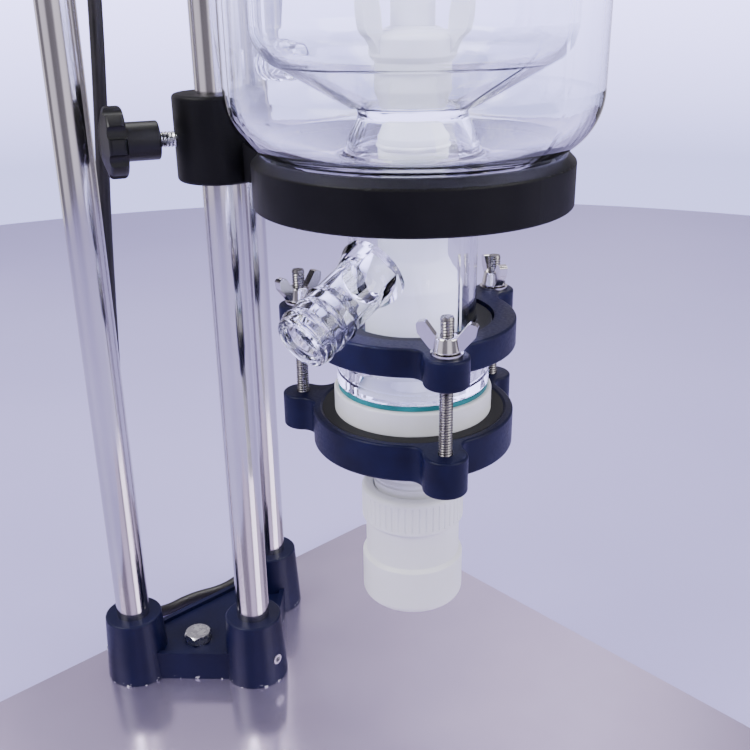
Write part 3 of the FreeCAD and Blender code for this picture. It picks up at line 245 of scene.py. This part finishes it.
def casting_enamel():
    """Satin navy enamel over a sand casting, chipped in places along the foot of the sockets."""
    finish = Finish("navy_enamel", (0.004, 0.005, 0.030), 0.38, Specular_IOR_Level=0.20)
    cloud = finish.noise(26, 5)
    grain = finish.noise(420, 4)
    pits = finish.noise(1500, 2)
    enamel = finish.ramp(cloud, [(0.3, (0.0030, 0.0036, 0.022)), (0.7, (0.0052, 0.0066, 0.038))])
    place = finish.node("ShaderNodeSeparateXYZ")
    finish.link(finish.coordinates(), place.inputs["Vector"])
    near_foot = finish.span(place.outputs["Z"], 1, 0, 0.0206, 0.0232)
    chips = finish.ramp(finish.noise(210, 3), [(0.60, (0, 0, 0)), (0.64, (1, 1, 1))])
    bare = finish.math("MULTIPLY", near_foot, chips)
    finish.link(finish.mix(bare, enamel, (0.62, 0.62, 0.66)), finish.shader.inputs["Base Color"])
    finish.vary_roughness(grain, 0.32, 0.46)
    finish.bump((cloud, 0.05, 0.002), (grain, 0.10, 0.0004), (pits, 0.05, 0.0001))
    return finish.material


def clamp_enamel():
    """The same navy, thicker and glossier, on the small clamp castings."""
    finish = Finish("clamp_enamel", (0.004, 0.005, 0.028), 0.40, Specular_IOR_Level=0.15)
    cloud = finish.noise(40, 4)
    grain = finish.noise(520, 3)
    finish.vary_color(cloud, (0.0030, 0.0036, 0.020), (0.0052, 0.0068, 0.036))
    finish.vary_roughness(grain, 0.34, 0.48)
    finish.bump((cloud, 0.06, 0.0015), (grain, 0.08, 0.0003))
    return finish.material


def powder_coat():
    """Fine black powder coat, faintly mottled where it has been rubbed."""
    finish = Finish("black_powder_coat", (0.0025, 0.0025, 0.0032), 0.42, Specular_IOR_Level=0.16)
    grain = finish.noise(1300, 3, 0.6)
    cloud = finish.noise(30, 5)
    finish.vary_color(cloud, (0.0016, 0.0016, 0.0021), (0.0034, 0.0033, 0.0042))
    finish.vary_roughness(cloud, 0.36, 0.54)
    finish.bump((grain, 0.22, 0.0003), (cloud, 0.04, 0.002))
    return finish.material


def moulded(name, color, roughness, scale=800, strength=0.12, **sockets):
    """Moulded plastic with a spark-eroded texture and slight uneven sheen."""
    finish = Finish(name, color, roughness, **sockets)
    grain = finish.noise(scale, 3, 0.6)
    cloud = finish.noise(24, 4)
    finish.vary_color(cloud, tuple(c * 0.88 for c in color), tuple(min(1, c * 1.1) for c in color))
    finish.vary_roughness(cloud, roughness - 0.05, roughness + 0.06)
    finish.bump((grain, strength, 0.0003))
    return finish.material


def clear_glass(name, tint, roughness, waves):
    """Hand-worked borosilicate: clear, with long shallow waves in its surface.

    For shadow rays alone it is plainly transparent, so that light reaches what stands inside it.
    """
    finish = Finish(name, tint, roughness, Transmission_Weight=1.0, IOR=1.474)
    long_wave = finish.noise(9, 2, stretch=(1, 1, 0.5), distortion=0.3)
    finish.vary_color(long_wave, tuple(c * 0.985 for c in tint), tint)
    finish.bump((long_wave, waves, 0.004))
    ray = finish.node("ShaderNodeLightPath")
    clear = finish.node("ShaderNodeBsdfTransparent")
    clear.inputs["Color"].default_value = (0.93, 0.94, 0.95, 1)
    either = finish.node("ShaderNodeMixShader")
    output = finish.tree.nodes["Material Output"]
    finish.link(ray.outputs["Is Shadow Ray"], either.inputs["Fac"])
    finish.link(finish.shader.outputs["BSDF"], either.inputs[1])
    finish.link(clear.outputs["BSDF"], either.inputs[2])
    finish.link(either.outputs["Shader"], output.inputs["Surface"])
    return finish.material


def fluoropolymer(name="ptfe", color=(0.83, 0.84, 0.87), turned=True):
    """White machined PTFE: waxy, a little translucent, with the marks of the lathe round it."""
    finish = Finish(name, color, 0.42, Subsurface_Weight=0.35, Subsurface_Scale=0.004)
    finish.set("Subsurface Radius", (1.0, 0.95, 0.9))
    cloud = finish.noise(32, 5)
    finish.vary_color(cloud, tuple(c * 0.965 for c in color), color)
    finish.vary_roughness(cloud, 0.36, 0.50)
    layers = [(finish.noise(500, 3), 0.05, 0.0003)]
    if turned:
        layers.append((finish.noise(1, 2, stretch=(0.01, 0.01, 2600)), 0.10, 0.0002))
    finish.bump(*layers)
    return finish.material


def soft_rubber(name, color, roughness=0.62):
    finish = Finish(name, color, roughness, Specular_IOR_Level=0.35)
    grain = finish.noise(900, 4, 0.65)
    dust = finish.noise(60, 5)
    finish.vary_color(dust, tuple(c * 0.8 for c in color), tuple(min(1, c * 1.25) for c in color))
    finish.bump((grain, 0.16, 0.0003))
    return finish.material


def lead_jacket():
    """PVC lead: black with a brown cast, and the faint lay of its cores showing through."""
    finish = Finish("lead_jacket", (0.006, 0.005, 0.006), 0.36)
    lay = finish.noise(70, 2, stretch=(1, 1, 0.6), distortion=1.2)
    grain = finish.noise(1100, 3)
    finish.vary_color(lay, (0.0045, 0.0038, 0.0045), (0.009, 0.007, 0.008))
    finish.vary_roughness(lay, 0.32, 0.46)
    finish.bump((lay, 0.12, 0.0008), (grain, 0.08, 0.0002))
    return finish.material


def plate_coat():
    """Satin pale metal base plate, polished enough to mirror the stand softly."""
    finish = Finish("plate_coat", (0.66, 0.60, 0.77), 0.18, Metallic=0.88)
    cloud = finish.noise(5, 4)
    grain = finish.noise(700, 3)
    finish.vary_color(cloud, (0.70, 0.60, 0.86), (0.82, 0.71, 0.97))
    finish.vary_roughness(finish.noise(14, 4), 0.14, 0.22)
    finish.bump((grain, 0.03, 0.0002))
    return finish.material


def anodised():
    finish = Finish("anodised_shell", (0.20, 0.21, 0.24), 0.34, Metallic=0.85)
    turned = finish.noise(1, 3, stretch=(0.02, 0.02, 1500))
    cloud = finish.noise(30, 4)
    finish.vary_color(cloud, (0.175, 0.185, 0.215), (0.235, 0.245, 0.275))
    finish.vary_roughness(turned, 0.26, 0.42)
    finish.bump((turned, 0.12, 0.0002))
    return finish.material


def screen_glass():
    finish = Finish("screen_glass", (0.012, 0.022, 0.026), 0.08, Coat_Weight=0.8, Coat_Roughness=0.03)
    cloud = finish.noise(40, 3)
    finish.vary_color(cloud, (0.010, 0.018, 0.022), (0.017, 0.031, 0.035))
    finish.bump((cloud, 0.02, 0.001))
    return finish.material


FINISHES = {
    "stainless": polished_tube(),
    "zinc_steel": bright_steel(),
    "navy_paint": casting_enamel(),
    "black_paint": powder_coat(),
    "black_plastic": moulded("black_plastic", (0.0035, 0.0035, 0.0042), 0.36, Specular_IOR_Level=0.3),
    "clear_glass": clear_glass("vessel_glass", (0.985, 0.992, 0.995), 0.0, 0.05),
    "ptfe": fluoropolymer(),
    "black_rubber": soft_rubber("black_rubber", (0.005, 0.005, 0.006)),
    "white_seal": soft_rubber("white_seal", (0.80, 0.80, 0.84), 0.5),
    "teal_seal": soft_rubber("teal_seal", (0.010, 0.19, 0.20), 0.5),
    "brown_seal": soft_rubber("brown_seal", (0.16, 0.055, 0.025), 0.5),
    "plate_paint": plate_coat(),
    "motor_shell": anodised(),
    "grey_plastic": moulded("grey_plastic", (0.42, 0.43, 0.47), 0.46, 600, 0.2),
    "screen": screen_glass(),
    "red_plastic": moulded("red_plastic", (0.42, 0.028, 0.022), 0.34),
}
SPECIAL = {
    "jacket": clear_glass("jacket_glass", (0.98, 0.99, 0.995), 0.0, 0.07),
    "lower_clamp_ring": clamp_enamel(),
    "drain_plug": fluoropolymer("ptfe_plug", (0.86, 0.87, 0.90)),
    "impeller": fluoropolymer("ptfe_impeller", (0.76, 0.76, 0.80), False),
    "stirrer_shaft": fluoropolymer("ptfe_sleeve", (0.76, 0.76, 0.80), False),
}
SPECIAL["upper_clamp_ring"] = SPECIAL["lower_clamp_ring"]
SPECIAL["lid_clamp_front"] = SPECIAL["lower_clamp_ring"]
SPECIAL["lid_clamp_back"] = SPECIAL["lower_clamp_ring"]
SLOT_OF = {part["node"]: part["material_slot"] for part in frame["record"]["subparts"]}


def wear(piece, material):
    piece.data.materials.clear()
    piece.data.materials.append(material)


def smooth(piece, angle=32):
    """Rounds the shading of everything but true corners."""
    piece.data.shade_smooth()
    edges = piece.modifiers.new("corners", "EDGE_SPLIT")
    edges.split_angle = math.radians(angle)


for name, piece in nodes.items():
    wear(piece, SPECIAL.get(name) or FINISHES[SLOT_OF[name]])
    smooth(piece)
wear(lead, lead_jacket())


# ------------------------------------------------------------------ threads
ROD_RADIUS, ROD_PITCH, ROD_DEPTH = 4 * MM, 1.6 * MM, 0.55 * MM
NUT_FLATS, NUT_HEIGHT = 13 * MM, 6.5 * MM
SCREW_ANGLE = math.radians(247.5)
SCREW_POST = Vector((-120, 0, 437.4)) * MM
SCREW_START, SCREW_LENGTH = 15.9 * MM, 42.4 * MM
SCREW_RADIUS, SCREW_PITCH, SCREW_DEPTH = 5 * MM, 2.2 * MM, 0.8 * MM
COLLAR_BASE, COLLAR_LENGTH = 227 * MM, 30 * MM
COLLAR_RADIUS, COLLAR_PITCH, COLLAR_DEPTH = 26.4 * MM, 4.2 * MM, 1.3 * MM
UP = Vector((0, 0, 1))


def new_piece(name, body, material):
    mesh = bpy.data.meshes.new(name)
    piece = bpy.data.objects.new(name, mesh)
    bpy.context.scene.collection.objects.link(piece)
    mesh.materials.append(material)
    mesh.shade_smooth()
    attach(piece, body)
    return piece


def centre_of(node):
    low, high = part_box(node)
    return (Vector(low) + Vector(high)) / 2


def helix_rod(shape, base, direction, length, radius, pitch, depth, sides=28):
    """A closed rod whose surface rises and falls along one helix."""
    steps = 6
    rows = int(length / pitch * steps) + 1
    axis = direction.normalized()
    across = axis.orthogonal().normalized()
    up = axis.cross(across)
    rings = []
    for row in range(rows + 1):
        along = length * row / rows
        fade = min(1, along / pitch, (length - along) / pitch)
        ring = []
        for side in range(sides):
            angle = 2 * math.pi * side / sides
            phase = (along / pitch - side / sides) % 1
            groove = depth * (1 - abs(2 * phase - 1)) if fade == 1 else depth * (1 - fade)
            reach = across * math.cos(angle) + up * math.sin(angle)
            ring.append(shape.verts.new(base + axis * along + reach * (radius - groove)))
        rings.append(ring)
    for low, high in zip(rings, rings[1:]):
        for side in range(sides):
            following = (side + 1) % sides
            shape.faces.new((low[side], low[following], high[following], high[side]))
    shape.faces.new(list(reversed(rings[0])))
    shape.faces.new(rings[-1])


def hex_nut(shape, base, flats, height):
    corner = flats / math.sqrt(3)
    rings = []
    for level in (0, height):
        rings.append([shape.verts.new(base + Vector((corner * math.cos(math.radians(60 * i)),
                                                     corner * math.sin(math.radians(60 * i)), level)))
                      for i in range(6)])
    for i in range(6):
        following = (i + 1) % 6
        shape.faces.new((rings[0][i], rings[0][following], rings[1][following], rings[1][i]))
    shape.faces.new(list(reversed(rings[0])))
    shape.faces.new(rings[1])


def finish_piece(shape, name, body, slot, material, *replaced):
    piece = new_piece(name, body, material)
    shape.to_mesh(piece.data)
    shape.free()
    smooth(piece, 40)
    if replaced:
        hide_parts(*replaced)


def add_rods():
    """Three threaded rods of the flange clamp, each with its lock nut in the lower ring."""
    shape = bmesh.new()
    low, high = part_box("clamp_rods")
    for i in (1, 2, 3):
        middle = centre_of("rod_washer_%d" % i)
        base = Vector((middle.x, middle.y, low[2]))
        helix_rod(shape, base, UP, high[2] - low[2], ROD_RADIUS, ROD_PITCH, ROD_DEPTH)
        hex_nut(shape, base, NUT_FLATS, NUT_HEIGHT)
    finish_piece(shape, "threaded_rods", "support", "stainless", dark_thread, "clamp_rods")


def add_clamp_screw():
    """The clamp screw, threaded between the boss and the star knob."""
    shape = bmesh.new()
    out = Vector((math.cos(SCREW_ANGLE), math.sin(SCREW_ANGLE), 0))
    base = SCREW_POST + out * SCREW_START
    helix_rod(shape, base, out, SCREW_LENGTH, SCREW_RADIUS, SCREW_PITCH, SCREW_DEPTH)
    finish_piece(shape, "threaded_screw", "clamp_handle", "zinc_steel", FINISHES["zinc_steel"], "clamp_screw")


def add_collar_thread():
    """The coarse thread cut round the valve's collar, above the knob."""
    shape = bmesh.new()
    middle = centre_of("valve_body")
    base = Vector((middle.x, middle.y, COLLAR_BASE))
    helix_rod(shape, base, UP, COLLAR_LENGTH, COLLAR_RADIUS, COLLAR_PITCH, COLLAR_DEPTH, sides=72)
    finish_piece(shape, "collar_thread", "support", "ptfe", FINISHES["ptfe"])


dark_thread = bright_steel("thread_steel", (0.20, 0.19, 0.19), 0.20, 0.34, 500)
add_rods()
add_clamp_screw()
add_collar_thread()


# ------------------------------------------------------------------ stage and light
BENCH_RADIUS = 1.95


def add_stage():
    floor = bpy.data.meshes.new("bench")
    shape = bmesh.new()
    bmesh.ops.create_circle(shape, cap_ends=True, segments=128, radius=BENCH_RADIUS)
    shape.to_mesh(floor)
    shape.free()
    bench = bpy.data.objects.new("bench", floor)
    bpy.context.scene.collection.objects.link(bench)
    finish = Finish("bench_top", (0.45, 0.41, 0.78), 0.42)
    cloud = finish.noise(1.6, 3)
    finish.vary_color(cloud, (0.435, 0.395, 0.76), (0.465, 0.425, 0.80))
    wear(bench, finish.material)


def add_world():
    """A pale lavender room that bright metal sees as tall light panels between darker gaps."""
    world = bpy.data.worlds.new("studio")
    bpy.context.scene.world = world
    world.use_nodes = True
    tree = world.node_tree
    tree.nodes.clear()
    output = tree.nodes.new("ShaderNodeOutputWorld")
    chooser = tree.nodes.new("ShaderNodeMixShader")
    ray = tree.nodes.new("ShaderNodeLightPath")
    seen = tree.nodes.new("ShaderNodeBackground")
    mirrored = tree.nodes.new("ShaderNodeBackground")
    place = tree.nodes.new("ShaderNodeTexCoord")
    around = tree.nodes.new("ShaderNodeTexGradient")
    around.gradient_type = "RADIAL"
    ramp = tree.nodes.new("ShaderNodeValToRGB")
    panels = [(0.0, 1.5), (0.05, 1.6), (0.08, 0.35), (0.14, 0.30), (0.17, 1.4), (0.25, 1.3), (0.28, 0.3),
              (0.37, 0.35), (0.40, 1.6), (0.47, 1.5), (0.50, 0.3), (0.58, 0.3), (0.61, 1.4), (0.67, 1.5),
              (0.70, 0.3), (0.80, 0.35), (0.84, 1.2), (0.90, 0.35), (0.95, 0.5), (1.0, 1.5)]
    elements = ramp.color_ramp.elements
    while len(elements) < len(panels):
        elements.new(0.5)
    for element, (position, bright) in zip(elements, panels):
        element.position = position
        element.color = (bright, bright * 0.93, bright * 1.12, 1)
    tree.links.new(place.outputs["Generated"], around.inputs["Vector"])
    tree.links.new(around.outputs["Fac"], ramp.inputs["Fac"])
    tree.links.new(ramp.outputs["Color"], mirrored.inputs["Color"])
    height = tree.nodes.new("ShaderNodeSeparateXYZ")
    tree.links.new(place.outputs["Generated"], height.inputs["Vector"])
    rise = tree.nodes.new("ShaderNodeMapRange")
    rise.inputs["From Min"].default_value = -0.16
    rise.inputs["From Max"].default_value = 0.06
    tree.links.new(height.outputs["Z"], rise.inputs["Value"])
    wall = tree.nodes.new("ShaderNodeValToRGB")
    wall.color_ramp.elements[0].color = (0.30, 0.30, 0.60, 1)
    wall.color_ramp.elements[1].color = (0.86, 0.80, 1.6, 1)
    tree.links.new(rise.outputs["Result"], wall.inputs["Fac"])
    tree.links.new(wall.outputs["Color"], seen.inputs["Color"])
    mirrored.inputs["Strength"].default_value = 0.85
    seen.inputs["Strength"].default_value = 4.0
    either = tree.nodes.new("ShaderNodeMath")
    either.operation = "MAXIMUM"
    tree.links.new(ray.outputs["Is Camera Ray"], either.inputs[0])
    tree.links.new(ray.outputs["Is Transmission Ray"], either.inputs[1])
    tree.links.new(either.outputs[0], chooser.inputs["Fac"])
    tree.links.new(mirrored.outputs[0], chooser.inputs[1])
    tree.links.new(seen.outputs[0], chooser.inputs[2])
    tree.links.new(chooser.outputs[0], output.inputs["Surface"])


def add_light(name, place, target, width, height, power):
    data = bpy.data.lights.new(name, "AREA")
    data.shape = "RECTANGLE"
    data.size = width
    data.size_y = height
    data.energy = power
    light = bpy.data.objects.new(name, data)
    light.location = place
    aim = Vector(target) - Vector(place)
    light.rotation_euler = aim.to_track_quat("-Z", "Y").to_euler()
    bpy.context.scene.collection.objects.link(light)


add_stage()
add_world()
add_light("key", (-0.4, -1.5, 1.8), (0, 0, 0.4), 1.2, 0.8, 40)
add_light("fill", (1.6, 0.6, 1.2), (0, 0, 0.4), 1.2, 1.2, 24)
add_light("top", (-0.3, 0.5, 2.1), (0, 0, 0.5), 1.6, 1.2, 40)
